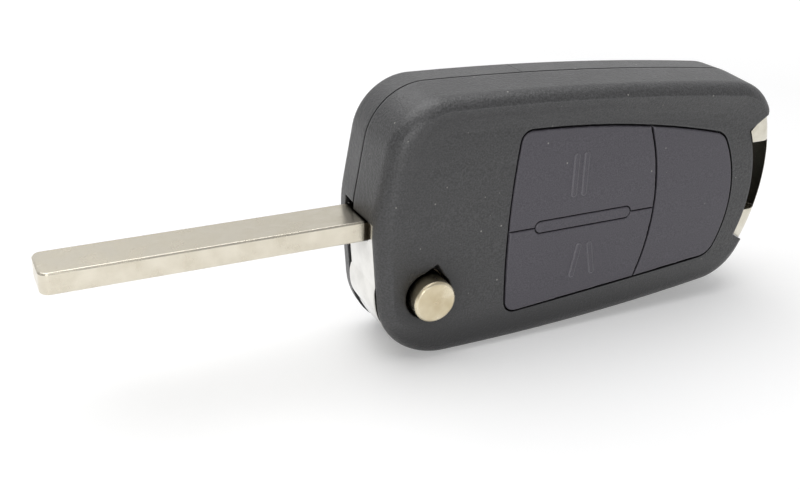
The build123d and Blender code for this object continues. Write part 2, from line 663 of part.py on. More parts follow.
# Flip hub: round boss on the axis, with a block up to the blade. At the blade end it
# keeps to the case's outline, with a fuller toe below the blade.
with BuildPart() as flip_hub:
    with BuildSketch(depth_plane(HUB_BACK_Y)):
        with Locations((0, PIVOT_Z)):
            Circle(HUB_TOE_RADIUS)
        with Locations((-FAR / 2, PIVOT_Z - FAR / 2)):
            Rectangle(FAR, FAR, mode=Mode.INTERSECT)
        with Locations((-HUB_REACH / 2, PIVOT_Z + BLADE_TOP_RISE / 2)):
            Rectangle(HUB_REACH, BLADE_TOP_RISE)
        add(inset_outline(HUB_SET_BACK), mode=Mode.INTERSECT)
        with Locations((0, PIVOT_Z)):
            Circle(HUB_RADIUS)
    extrude(amount=HUB_BACK_Y - HUB_FRONT_Y)
    # Pocket for the tang, open at the top and at the blade end
    with BuildSketch(Plane.XY.offset(BLADE_LOW_Z)):
        with Locations((HUB_LEFT_X + TANG_LENGTH - FAR / 2, BLADE_Y)):
            Rectangle(FAR, BLADE_WIDTH + 2 * FIT)
    extrude(amount=FAR, mode=Mode.SUBTRACT)
    with BuildSketch(depth_plane(HUB_BACK_Y)):
        with Locations((-PIN_INSET, PIN_Z)):
            Circle(PIN_RADIUS)
    extrude(amount=HUB_BACK_Y - HUB_FRONT_Y, mode=Mode.SUBTRACT)
    # Stepped bore for the plunger: shaft, button, lugs and spring
    with BuildSketch(depth_plane(HUB_BACK_Y)):
        with Locations((0, PIVOT_Z)):
            Circle(SHAFT_RADIUS + RUNNING_FIT)
    extrude(amount=HUB_BACK_Y - HUB_FRONT_Y, mode=Mode.SUBTRACT)
    with BuildSketch(depth_plane(COUNTERBORE_Y)):
        with Locations((0, PIVOT_Z)):
            Circle(BUTTON_RADIUS + RUNNING_FIT)
    extrude(amount=COUNTERBORE_Y - HUB_FRONT_Y, mode=Mode.SUBTRACT)
    with BuildSketch(depth_plane(COUNTERBORE_Y + LUG_LENGTH + BUTTON_TRAVEL + LUG_GAP)):
        with Locations((0, PIVOT_Z)):
            Rectangle(2 * LUG_RADIUS + 2 * LUG_GAP, LUG_WIDTH + 2 * LUG_GAP)
    extrude(amount=LUG_LENGTH + BUTTON_TRAVEL + LUG_GAP, mode=Mode.SUBTRACT)
    with BuildSketch(depth_plane(HUB_BACK_Y)):
        with Locations((0, PIVOT_Z)):
            Circle(SPRING_POCKET_RADIUS)
    extrude(amount=SPRING_POCKET_DEPTH, mode=Mode.SUBTRACT)

# Blade: an uncut bar, square in the hub, rounded at the tip
with BuildPart() as blade:
    with BuildSketch(Plane.XY.offset(BLADE_LOW_Z)):
        tang_end_x = HUB_LEFT_X + TANG_LENGTH
        with Locations((tang_end_x - (TANG_LENGTH + BLADE_LENGTH) / 2, BLADE_Y)):
            Rectangle(TANG_LENGTH + BLADE_LENGTH, BLADE_WIDTH)
    extrude(amount=BLADE_THICKNESS)
    tip_edges = blade.edges().filter_by(Axis.Z).group_by(Axis.X)[0]
    fillet(tip_edges, BLADE_TIP_ROUND)
    rim = blade.faces().filter_by(Axis.Z).edges().group_by(Axis.X)[:-1]
    chamfer([edge for group in rim for edge in group], BLADE_BEVEL)
    with BuildSketch(depth_plane(HUB_BACK_Y)):
        with Locations((-PIN_INSET, PIN_Z)):
            Circle(PIN_RADIUS)
    extrude(amount=HUB_BACK_Y - HUB_FRONT_Y, mode=Mode.SUBTRACT)

# Slotted roll pin through the hub and the tang
with BuildPart() as blade_pin:
    with BuildSketch(depth_plane(HUB_BACK_Y - PIN_SET_BACK)):
        with Locations((-PIN_INSET, PIN_Z)):
            Circle(PIN_RADIUS - FIT)
            Circle(PIN_RADIUS - PIN_WALL, mode=Mode.SUBTRACT)
        with Locations((-PIN_INSET, PIN_Z + PIN_RADIUS)):
            Rectangle(PIN_SLIT, 2 * PIN_RADIUS, mode=Mode.SUBTRACT)
    extrude(amount=HUB_BACK_Y - HUB_FRONT_Y - 2 * PIN_SET_BACK)

# Release button: turned cap, pressed on the plunger's spigot
with BuildPart() as release_button:
    with BuildSketch(depth_plane(BUTTON_BACK_Y)):
        with Locations((0, PIVOT_Z)):
            Circle(BUTTON_RADIUS)
    extrude(amount=BUTTON_BACK_Y - BUTTON_FACE_Y)
    chamfer(release_button.faces().sort_by(Axis.Y)[0].edges(), BUTTON_EDGE)
    with BuildSketch(depth_plane(BUTTON_BACK_Y)):
        with Locations((0, PIVOT_Z)):
            Circle(SPIGOT_RADIUS + FIT)
    extrude(amount=SPIGOT_LENGTH, mode=Mode.SUBTRACT)

# Lock plunger: spigot, shaft with two lugs, and the flange that the spring pushes on
with BuildPart() as lock_plunger:
    with BuildSketch(depth_plane(FLANGE_Y)):
        with Locations((0, PIVOT_Z)):
            Circle(SHAFT_RADIUS)
    extrude(amount=FLANGE_Y - BUTTON_BACK_Y)
    with BuildSketch(depth_plane(BUTTON_BACK_Y)):
        with Locations((0, PIVOT_Z)):
            Circle(SPIGOT_RADIUS)
    extrude(amount=SPIGOT_LENGTH - 2 * LUG_GAP)
    with BuildSketch(depth_plane(COUNTERBORE_Y + LUG_LENGTH)):
        with Locations((0, PIVOT_Z)):
            Rectangle(2 * LUG_RADIUS, LUG_WIDTH)
    extrude(amount=LUG_LENGTH - LUG_GAP / 2)
    with BuildSketch(depth_plane(FLANGE_Y + FLANGE_THICKNESS)):
        with Locations((0, PIVOT_Z)):
            Circle(FLANGE_RADIUS)
    extrude(amount=FLANGE_THICKNESS)

# Flip spring: pushes the plunger out and turns the hub
coil_start = FLANGE_Y + FLANGE_THICKNESS + SPRING_WIRE_RADIUS + FIT
coil_end = CHEEK_BACK_Y + CUP_DEPTH - CUP_WALL - SPRING_WIRE_RADIUS - FIT
with BuildPart() as flip_spring:
    with BuildLine() as coil_line:
        coil_height = coil_end - coil_start
        Helix(
            pitch=coil_height / SPRING_TURNS,
            height=coil_height,
            radius=SPRING_COIL_RADIUS,
            center=(0, coil_start, PIVOT_Z),
            direction=(0, 1, 0),
        )
    with BuildSketch(Plane(origin=coil_line.line @ 0, z_dir=coil_line.line % 0)):
        Circle(SPRING_WIRE_RADIUS)
    sweep()

# Spring cup: pressed sheet cup that seats the spring in the back shell
with BuildPart() as spring_cup:
    with BuildSketch(depth_plane(CHEEK_BACK_Y + CUP_DEPTH)):
        with Locations((0, PIVOT_Z)):
            Circle(CUP_RADIUS)
    extrude(amount=CUP_DEPTH)
    with BuildSketch(depth_plane(CHEEK_BACK_Y + CUP_DEPTH - CUP_WALL)):
        with Locations((0, PIVOT_Z)):
            Circle(CUP_RADIUS - CUP_WALL)
    extrude(amount=CUP_DEPTH, mode=Mode.SUBTRACT)

# Hub washer: thin ring between the hub and the back cheek
with BuildPart() as hub_washer:
    with BuildSketch(depth_plane(CHEEK_BACK_Y - (CHEEK_CLEARANCE - WASHER_THICKNESS) / 2)):
        with Locations((0, PIVOT_Z)):
            Circle(WASHER_RADIUS)
            Circle(CUP_RADIUS + FIT, mode=Mode.SUBTRACT)
    extrude(amount=WASHER_THICKNESS)

# Stop pin: steel dowel across the case that the hub block rests against
with BuildPart() as stop_pin:
    with BuildSketch(depth_plane(STOP_BACK_Y)):
        with Locations((STOP_RADIUS + STOP_REST_X, STOP_Z)):
            Circle(STOP_RADIUS)
    extrude(amount=STOP_BACK_Y - STOP_FRONT_Y)


def divider_side(shift):
    """Area on one side of the curved gap that parts the keys from the blank panel."""
    side = 1 if shift > 0 else -1
    low = (DIVIDER_END_X + shift, DIVIDER_Z - DIVIDER_REACH)
    high = (DIVIDER_END_X + shift, DIVIDER_Z + DIVIDER_REACH)
    with BuildSketch() as area:
        with BuildLine():
            ThreePointArc(low, (DIVIDER_X + shift, DIVIDER_Z), high)
            Polyline(high, (side * FAR, high[1]), (side * FAR, low[1]), low)
        make_face()
    return area.sketch


def split_side(side):
    """Area above or below the line that parts the two keys, clear of the bar between them."""
    with BuildSketch() as area:
        with Locations((0, KEY_SPLIT_Z + side * (KEY_SPLIT_GAP + FAR) / 2)):
            Rectangle(2 * FAR, FAR)
        with Locations(((BAR_START_X + BAR_END_X) / 2, KEY_SPLIT_Z)):
            SlotOverall(
                BAR_END_X - BAR_START_X + 2 * BAR_GAP,
                BAR_HEIGHT + 2 * BAR_GAP,
                mode=Mode.SUBTRACT,
            )
    return area.sketch


def key_blank(areas):
    """A key's body with the flange that keeps it behind the panel, cut to the given areas."""
    flange_plane = panel_plane.offset(-PANEL_THICKNESS - KEY_FLANGE_GAP)
    with BuildPart() as key:
        with BuildSketch(flange_plane):
            add(key_pad())
            for area in areas:
                add(area, mode=Mode.INTERSECT)
        extrude(amount=PANEL_THICKNESS + KEY_FLANGE_GAP + KEY_PROUD)
        fillet(key.faces().sort_by(Axis.Y)[0].edges(), KEY_EDGE_ROUND)
        with BuildSketch(flange_plane):
            add(key_pad(KEY_FLANGE))
            for area in areas:
                add(area, mode=Mode.INTERSECT)
        extrude(amount=-KEY_FLANGE_THICKNESS)
    return key.part


def raised_bars(x, z, length, pitch, lean):
    """Two raised bars that mark a key, leaning towards each other at the top."""
    with BuildPart() as bars:
        with BuildSketch(panel_plane.offset(KEY_PROUD)):
            with Locations(Location((x - pitch / 2, z), -lean), Location((x + pitch / 2, z), lean)):
                SlotOverall(length, SIGN_WIDTH, rotation=90)
        extrude(amount=SIGN_HEIGHT)
    return bars.part


left_keys = divider_side(-DIVIDER_GAP / 2)
with BuildPart() as lock_button:
    add(key_blank([left_keys, split_side(1)]))
    add(raised_bars(LOCK_SIGN_X, LOCK_SIGN_Z, LOCK_SIGN_LENGTH, LOCK_SIGN_PITCH, 0))

with BuildPart() as unlock_button:
    add(key_blank([left_keys, split_side(-1)]))
    add(
        raised_bars(
            UNLOCK_SIGN_X,
            UNLOCK_SIGN_Z,
            UNLOCK_SIGN_LENGTH,
            UNLOCK_SIGN_PITCH,
            UNLOCK_SIGN_LEAN,
        )
    )

with BuildPart() as blank_panel:
    add(key_blank([divider_side(DIVIDER_GAP / 2)]))

# Rubber mat behind the keys: the bar between them, and a dome under each
with BuildPart() as key_mat:
    with BuildSketch(panel_plane.offset(-MAT_DEPTH - MAT_THICKNESS)):
        add(key_pad(-MAT_INSET))
    extrude(amount=MAT_THICKNESS)
    with BuildSketch(panel_plane.offset(-MAT_DEPTH - MAT_THICKNESS)):
        with Locations(((BAR_START_X + BAR_END_X) / 2, KEY_SPLIT_Z)):
            SlotOverall(BAR_END_X - BAR_START_X, BAR_HEIGHT)
    extrude(amount=MAT_THICKNESS + MAT_DEPTH + KEY_PROUD)
    fillet(key_mat.faces().sort_by(Axis.Y)[0].edges(), BAR_ROUND)
    with BuildSketch(panel_plane.offset(-MAT_DEPTH - MAT_THICKNESS)):
        with Locations(LOCK_DOME, UNLOCK_DOME):
            Circle(DOME_RADIUS)
    extrude(amount=-DOME_HEIGHT, taper=DOME_TAPER)

# Board tray: holds the mat up to the keys, and takes the circuit board
with BuildPart() as board_tray:
    with BuildSketch(panel_plane.offset(-TRAY_TOP)):
        add(bay.sketch)
        offset(amount=-TRAY_INSET)
        with Locations(*SCREW_PLACES):
            Circle(BOSS_RADIUS + TRAY_INSET, mode=Mode.SUBTRACT)
    extrude(amount=-TRAY_DEPTH)
    with BuildSketch(panel_plane.offset(-TRAY_TOP - TRAY_FLOOR)):
        add(bay.sketch)
        offset(amount=-TRAY_INSET - TRAY_WALL)
        with Locations(*SCREW_PLACES):
            Circle(BOSS_RADIUS + TRAY_INSET + TRAY_WALL, mode=Mode.SUBTRACT)
    extrude(amount=-TRAY_DEPTH, mode=Mode.SUBTRACT)
    with BuildSketch(panel_plane.offset(-TRAY_TOP)):
        with Locations(LOCK_DOME, UNLOCK_DOME):
            Circle(DOME_RADIUS + TRAY_WALL)
    extrude(amount=-TRAY_DEPTH, mode=Mode.SUBTRACT)

# Chip cover: lid of the pocket for the immobiliser chip
with BuildPart() as chip_cover:
    with BuildSketch(depth_plane(-CHIP_COVER_SET_BACK)):
        add(chip_bay.sketch)
        offset(amount=-CHIP_COVER_CLEARANCE)
    extrude(amount=CHIP_COVER_THICKNESS)

# Case screws: two pan heads on the deck, their shanks in the bosses
with BuildPart() as case_screws:
    with BuildSketch(depth_plane(DECK_Y + DECK_THICKNESS + SCREW_HEAD_HEIGHT)):
        with Locations(*SCREW_PLACES):
            Circle(SCREW_HEAD_RADIUS)
    extrude(amount=SCREW_HEAD_HEIGHT)
    with BuildSketch(depth_plane(DECK_Y + DECK_THICKNESS)):
        with Locations(*SCREW_PLACES):
            Circle(SCREW_SHANK_RADIUS)
    extrude(amount=SCREW_LENGTH)
    with BuildSketch(depth_plane(DECK_Y + DECK_THICKNESS + SCREW_HEAD_HEIGHT)):
        with Locations(*SCREW_PLACES):
            Rectangle(DRIVE_LENGTH, DRIVE_SLOT)
            Rectangle(DRIVE_SLOT, DRIVE_LENGTH)
    extrude(amount=DRIVE_SLOT, mode=Mode.SUBTRACT)

PIECES = {
    "front_shell": front_shell,
    "back_shell": back_shell,
    "battery_cover": battery_cover,
    "ring_loop": ring_loop,
    "flip_hub": flip_hub,
    "blade": blade,
    "blade_pin": blade_pin,
    "release_button": release_button,
    "lock_plunger": lock_plunger,
    "flip_spring": flip_spring,
    "spring_cup": spring_cup,
    "hub_washer": hub_washer,
    "stop_pin": stop_pin,
    "lock_button": lock_button,
    "unlock_button": unlock_button,
    "blank_panel": blank_panel,
    "key_mat": key_mat,
    "board_tray": board_tray,
    "chip_cover": chip_cover,
    "case_screws": case_screws,
}
to_origin = Location((-MIDDLE_X, -MIDDLE_Y, 0))
for piece_name, piece in PIECES.items():
    piece.part.locate(to_origin)
    piece.part.label = piece_name
    export_step(piece.part, f"parts/{piece_name}.step")
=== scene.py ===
from math import cos, radians, sin

import bpy
from mathutils import Matrix, Vector


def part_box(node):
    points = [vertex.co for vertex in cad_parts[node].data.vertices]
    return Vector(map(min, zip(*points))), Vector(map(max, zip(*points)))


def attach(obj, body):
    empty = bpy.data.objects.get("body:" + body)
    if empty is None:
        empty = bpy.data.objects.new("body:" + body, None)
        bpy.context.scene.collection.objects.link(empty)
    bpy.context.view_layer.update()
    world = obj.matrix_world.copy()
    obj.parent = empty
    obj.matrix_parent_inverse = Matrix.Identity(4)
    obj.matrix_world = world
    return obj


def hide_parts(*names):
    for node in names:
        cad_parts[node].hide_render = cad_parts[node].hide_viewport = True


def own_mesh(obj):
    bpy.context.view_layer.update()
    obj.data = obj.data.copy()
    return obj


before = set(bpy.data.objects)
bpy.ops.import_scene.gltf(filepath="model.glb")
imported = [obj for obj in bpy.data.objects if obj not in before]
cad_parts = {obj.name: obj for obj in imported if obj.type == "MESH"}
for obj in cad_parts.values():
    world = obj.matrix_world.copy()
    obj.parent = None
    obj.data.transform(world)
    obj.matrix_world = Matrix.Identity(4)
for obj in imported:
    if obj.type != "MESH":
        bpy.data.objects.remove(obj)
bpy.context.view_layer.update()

# Sizes and places are in millimetres, and MM turns them into the frame's metres
MM = 0.001

# Camera at the photograph's place: focal length in pixels of the 800 pixel wide frame
PHOTO_WIDTH = 800
FOCAL_PIXELS = 1070.0
CAMERA_PLACE = (-66.856, -121.78, 84.10)
CAMERA_AZIMUTH = radians(-26.32)
CAMERA_ELEVATION = radians(26.55)
CAMERA_ROLL = radians(2.47)
SENSOR_WIDTH = 36.0
CLIP_START = 5.0

# Colours, linear
SHELL_COLOUR = (0.029, 0.029, 0.030, 1)
# Painted shade for the shell's dish and corners
SHELL_HOLLOW_SHADE = (0.012, 0.012, 0.013, 1)
SHELL_LIGHT = (0.068, 0.068, 0.070, 1)
# Painted highlight on the shell's edges, partly wear
SHELL_EDGE_HIGHLIGHT = (0.17, 0.17, 0.175, 1)
KEY_COLOUR = (0.062, 0.058, 0.071, 1)
KEY_LIGHT = (0.100, 0.093, 0.110, 1)
# Painted highlight on the keys' edges
KEY_EDGE_HIGHLIGHT = (0.30, 0.29, 0.32, 1)
INNER_COLOUR = (0.010, 0.010, 0.011, 1)
INNER_LIGHT = (0.018, 0.018, 0.019, 1)
# Painted shade in the plastics' gaps
GAP_SHADE_COLOUR = (0.002, 0.002, 0.002, 1)
DUST_COLOUR = (0.32, 0.31, 0.29, 1)
BLADE_COLOUR = (0.66, 0.61, 0.50, 1)
BLADE_LIGHT = (0.75, 0.70, 0.59, 1)
BUTTON_COLOUR = (0.64, 0.55, 0.37, 1)
BUTTON_LIGHT = (0.80, 0.72, 0.54, 1)
BUTTON_BROWN_MIDDLE = (0.56, 0.46, 0.29, 1)
CHROME_COLOUR = (0.68, 0.67, 0.64, 1)
CHROME_LIGHT = (0.78, 0.77, 0.74, 1)
LOOP_COLOUR = (0.62, 0.58, 0.48, 1)
LOOP_LIGHT = (0.76, 0.73, 0.64, 1)
STEEL_COLOUR = (0.45, 0.45, 0.45, 1)
STEEL_LIGHT = (0.58, 0.58, 0.57, 1)
SPRING_COLOUR = (0.25, 0.24, 0.23, 1)
SPRING_LIGHT = (0.36, 0.35, 0.33, 1)
# Painted shade for the metals' gaps and the blade's root
METAL_SHADE_COLOUR = (0.030, 0.024, 0.016, 1)
# Painted highlight on the metals' edges
METAL_EDGE_HIGHLIGHT = (0.93, 0.91, 0.86, 1)

# Every material: how far the rounded normal still agrees with the flat one, from no edge to
# a full edge, and the part of a patch's noise over which its gloss changes
EDGE_TURN = (0.99, 0.80)
EDGE_SAMPLES = 6
GAP_SAMPLES = 8
GLOSS_SPAN = (0.3, 0.7)

# Plastic: grain from dark to light, a coarser grain by shares of the fine one, patches of
# gloss, dust specks, painted shade in gaps from dark to none, and painted edge highlight
GRAIN_SPAN = (0.36, 0.68)
COARSE_SIZE_SHARE = 2.4
COARSE_DEPTH_SHARE = 0.9
PLASTIC_PATCH_SIZE = 9.0
DUST_SPACING = 2.6
DUST_RADIUS = 0.16
PLASTIC_GAP_SHADE_REACH = 0.6
PLASTIC_GAP_SHADE_SPAN = (0.2, 0.6)
PLASTIC_EDGE_HIGHLIGHT_SHARE = 0.7

# Metal: pits by shares of the lines, smoky patches, painted highlight on edges, and painted
# shade in gaps from dark to none
PIT_SIZE = 0.35
PIT_DEPTH_SHARE = 0.7
METAL_PATCH_SIZE = 3.0
METAL_PATCH_SPAN = (0.35, 0.65)
METAL_GAP_SHADE_SPAN = (0.3, 0.85)
METAL_EDGE_SIZE = 0.12
METAL_EDGE_HIGHLIGHT_SHARE = 0.6

# Painted shade in the shell's hollows, from open to turned in
HOLLOW_REACH = 7.0
HOLLOW_SPAN = (1.0, 0.80)

# Painted shade at the blade's root, by the distance from the hub's end
ROOT_SHADE_START = 0.8
ROOT_SHADE_FULL = 0.4

# Browner middle of the release button, by the distance from its middle, and its clouds
BROWN_EDGE = 2.7
BROWN_MIDDLE = 0.6
BROWN_SHARE = 0.7
BROWN_CLOUD_SIZE = 1.1
BROWN_CLOUD_SPAN = (0.3, 0.65)
BROWN_CLOUD_SHARES = (0.35, 1.0)

# Floor, its white glow where it is seen, and the distances over which it fades to white
FLOOR_SIZE = 6000
FLOOR_COLOUR = (0.78, 0.78, 0.78, 1)
FLOOR_ROUGHNESS = 0.6
FLOOR_GLOW_COLOUR = (1, 1, 1, 1)
FLOOR_GLOW = 0.26
FLOOR_NEAR = 160
FLOOR_FAR = 600
FAR_GLOW = 0.7

# Sky: colours at the horizon and overhead, strength as light, and shares of it by direction
SKY_LOW = (1.0, 1.0, 1.0, 1)
SKY_HIGH = (0.42, 0.42, 0.43, 1)
SKY_LIGHT = 0.50
SKY_FRONT = 0.60
SKY_LEFT = 0.62
SKY_FULL = 1.0

# Lamps, all aimed at the middle of the fob
FOB_MIDDLE = (10, 0, 18)
LAMPS = {
    "top_lamp": {"place_mm": (-60, 90, 450), "size_mm": 560, "power": 2.4},
    "front_lamp": {"place_mm": (-140, -350, 140), "size_mm": 130, "power": 0.42},
}

# The colour sockets of a Mix node, which share their names with its other sockets
MIX_FIRST = 6
MIX_SECOND = 7
MIX_RESULT = 2


def fill_socket(tree, socket, value):
    """Links value to the socket where it is a node's output, and else sets it there."""
    if isinstance(value, bpy.types.NodeSocket):
        tree.links.new(value, socket)
    else:
        socket.default_value = value


def add_node(tree, kind, **settings):
    """Adds a shader node; a setting names one of its inputs or one of its properties."""
    node = tree.nodes.new(kind)
    for name, value in settings.items():
        if name in node.inputs.keys():
            fill_socket(tree, node.inputs[name], value)
        else:
            setattr(node, name, value)
    return node


def calculate(tree, operation, *values, kind="ShaderNodeMath", result="Value"):
    """Result of an operation on values, each a plain value or a node's output."""
    node = add_node(tree, kind, operation=operation)
    for socket, value in zip(node.inputs, values):
        fill_socket(tree, socket, value)
    return node.outputs[result]


def calculate_vector(tree, operation, *values, result="Vector"):
    """Result of an operation on vectors."""
    return calculate(tree, operation, *values, kind="ShaderNodeVectorMath", result=result)


def spread(tree, value, old, new=(0.0, 1.0)):
    """Stretches value from the old range to the new one, and holds it inside the new one."""
    ranged = add_node(tree, "ShaderNodeMapRange", Value=value)
    bounds = {"From Min": old[0], "From Max": old[1], "To Min": new[0], "To Max": new[1]}
    for name, bound in bounds.items():
        ranged.inputs[name].default_value = bound
    return ranged.outputs["Result"]


def blend_colours(tree, amount, first, second):
    """Colour that runs from first to second with amount; each is a colour or an output."""
    mix = add_node(tree, "ShaderNodeMix", data_type="RGBA", Factor=amount)
    fill_socket(tree, mix.inputs[MIX_FIRST], first)
    fill_socket(tree, mix.inputs[MIX_SECOND], second)
    return mix.outputs[MIX_RESULT]


def object_place(tree):
    """Place in the object's own coordinates, which are the frame's."""
    return add_node(tree, "ShaderNodeTexCoord").outputs["Object"]


def noise_value(tree, place, grain_mm, detail=2.0, stretch=(1, 1, 1)):
    """Noise with grains of a real size, drawn out by stretch."""
    squeeze = [1 / part for part in stretch]
    mapping = add_node(tree, "ShaderNodeMapping", Vector=place, Scale=squeeze)
    noise = add_node(tree, "ShaderNodeTexNoise", Scale=1 / (grain_mm * MM), Detail=detail)
    fill_socket(tree, noise.inputs["Vector"], mapping.outputs["Vector"])
    return noise.outputs["Fac"]


def bump_chain(tree, shader, normal, layers):
    """Adds bump layers on normal, each a height value and its depth in millimetres."""
    for height, depth_mm in layers:
        bump = add_node(tree, "ShaderNodeBump", Strength=1.0, Distance=depth_mm * MM)
        fill_socket(tree, bump.inputs["Height"], height)
        fill_socket(tree, bump.inputs["Normal"], normal)
        normal = bump.outputs["Normal"]
    fill_socket(tree, shader.inputs["Normal"], normal)


def openness(tree, reach_mm, span):
    """How open the surface lies within reach, with span stretched to 0 and 1."""
    shade = add_node(
        tree, "ShaderNodeAmbientOcclusion", samples=GAP_SAMPLES, Distance=reach_mm * MM
    )
    return spread(tree, shade.outputs["AO"], span)


def rounded_edges(tree, radius_mm):
    """Normal that turns softly round the sharp edges, and how near an edge is, from 0 to 1."""
    bevel = add_node(tree, "ShaderNodeBevel", samples=EDGE_SAMPLES, Radius=radius_mm * MM)
    rounded = bevel.outputs["Normal"]
    flat = add_node(tree, "ShaderNodeNewGeometry").outputs["Normal"]
    turn = calculate_vector(tree, "DOT_PRODUCT", rounded, flat, result="Value")
    return rounded, spread(tree, turn, EDGE_TURN)


def dust_specks(tree, place):
    """1 on a few tiny round specks, 0 between them."""
    cells = add_node(tree, "ShaderNodeTexVoronoi", Vector=place, Scale=1 / (DUST_SPACING * MM))
    share = DUST_RADIUS / DUST_SPACING
    return spread(tree, cells.outputs["Distance"], (share, share / 2))


def start_material(name, metallic=0.0, specular=0.5):
    """New material, its node tree and its Principled shader."""
    material = bpy.data.materials.new(name)
    material.use_nodes = True
    tree = material.node_tree
    shader = tree.nodes["Principled BSDF"]
    shader.inputs["Metallic"].default_value = metallic
    shader.inputs["Specular IOR Level"].default_value = specular
    return material, tree, shader


def moulded_plastic(name, dark, light, edge_highlight, grain_mm, depth_mm, rough, edge_mm, specular=0.5):
    """Plastic from an eroded mould: sparkling grains, patches, worn edges with painted highlight,
    painted shade in gaps, dust.
    """
    material, tree, shader = start_material(name, 0.0, specular)
    place = object_place(tree)
    grain = noise_value(tree, place, grain_mm)
    coarse = noise_value(tree, place, grain_mm * COARSE_SIZE_SHARE)
    patch = noise_value(tree, place, PLASTIC_PATCH_SIZE, detail=3.0)
    normal, near_edge = rounded_edges(tree, edge_mm)
    gap_shade = openness(tree, PLASTIC_GAP_SHADE_REACH, PLASTIC_GAP_SHADE_SPAN)
    highlight_amount = spread(tree, near_edge, (0, 1), (0, PLASTIC_EDGE_HIGHLIGHT_SHARE))
    colour = blend_colours(tree, spread(tree, grain, GRAIN_SPAN), dark, light)
    colour = blend_colours(tree, dust_specks(tree, place), colour, DUST_COLOUR)
    colour = blend_colours(tree, gap_shade, GAP_SHADE_COLOUR, colour)
    colour = blend_colours(tree, highlight_amount, colour, edge_highlight)
    fill_socket(tree, shader.inputs["Base Color"], colour)
    fill_socket(tree, shader.inputs["Roughness"], spread(tree, patch, GLOSS_SPAN, rough))
    bump_chain(tree, shader, normal, ((grain, depth_mm), (coarse, depth_mm * COARSE_DEPTH_SHARE)))
    return material


def worn_metal(
    name, dark, light, rough, line_mm, depth_mm, gap_shade_mm, stretch=(1, 1, 1), edge_mm=METAL_EDGE_SIZE
):
    """Plated metal: fine lines along stretch, pits, smoky patches, painted highlight on edges and
    painted shade in gaps.

    The roughness runs from the smoky patches to the clean ones.
    """
    material, tree, shader = start_material(name, 1.0)
    place = object_place(tree)
    lines = noise_value(tree, place, line_mm, detail=4.0, stretch=stretch)
    pits = noise_value(tree, place, PIT_SIZE, detail=3.0)
    patch = noise_value(tree, place, METAL_PATCH_SIZE, detail=4.0)
    normal, near_edge = rounded_edges(tree, edge_mm)
    highlight_amount = spread(tree, near_edge, (0, 1), (0, METAL_EDGE_HIGHLIGHT_SHARE))
    gap_shade = openness(tree, gap_shade_mm, METAL_GAP_SHADE_SPAN)
    colour = blend_colours(tree, spread(tree, patch, METAL_PATCH_SPAN), dark, light)
    colour = blend_colours(tree, highlight_amount, colour, METAL_EDGE_HIGHLIGHT)
    colour = blend_colours(tree, gap_shade, METAL_SHADE_COLOUR, colour)
    fill_socket(tree, shader.inputs["Base Color"], colour)
    fill_socket(tree, shader.inputs["Roughness"], spread(tree, patch, GLOSS_SPAN, rough))
    bump_chain(tree, shader, normal, ((lines, depth_mm), (pits, depth_mm * PIT_DEPTH_SHARE)))
    return material


def blend_over(material, amount, colour):
    """Lays colour over what the material has, where amount says."""
    tree = material.node_tree
    target = tree.nodes["Principled BSDF"].inputs["Base Color"]
    below = target.links[0].from_socket
    fill_socket(tree, target, blend_colours(tree, amount, below, colour))


def paint_blade_root_shade(material):
    """Painted shade on the blade where it leaves the hub."""
    tree = material.node_tree
    hub_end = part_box("flip_hub")[0][0]
    along = add_node(tree, "ShaderNodeSeparateXYZ", Vector=object_place(tree)).outputs["X"]
    root = (hub_end - ROOT_SHADE_START * MM, hub_end - ROOT_SHADE_FULL * MM)
    blend_over(material, spread(tree, along, root), METAL_SHADE_COLOUR)


def paint_hollow_shade(material):
    """Painted shade on the shell where its dish and its corners turn in."""
    amount = openness(material.node_tree, HOLLOW_REACH, HOLLOW_SPAN)
    blend_over(material, amount, SHELL_HOLLOW_SHADE)


def brown_button_middle(material):
    """Browner middle of the button, in clouds, inside a rim that stays bright."""
    tree = material.node_tree
    place = object_place(tree)
    low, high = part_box("release_button")
    middle = (Vector(low) + Vector(high)) / 2
    offset = calculate_vector(tree, "SUBTRACT", place, middle)
    across = calculate_vector(tree, "MULTIPLY", offset, (1, 0, 1))
    radius = calculate_vector(tree, "LENGTH", across, result="Value")
    ring = spread(tree, radius, (BROWN_EDGE * MM, BROWN_MIDDLE * MM), (0.0, BROWN_SHARE))
    cloud = noise_value(tree, place, BROWN_CLOUD_SIZE, detail=4.0)
    cloud = spread(tree, cloud, BROWN_CLOUD_SPAN, BROWN_CLOUD_SHARES)
    blend_over(material, calculate(tree, "MULTIPLY", ring, cloud), BUTTON_BROWN_MIDDLE)


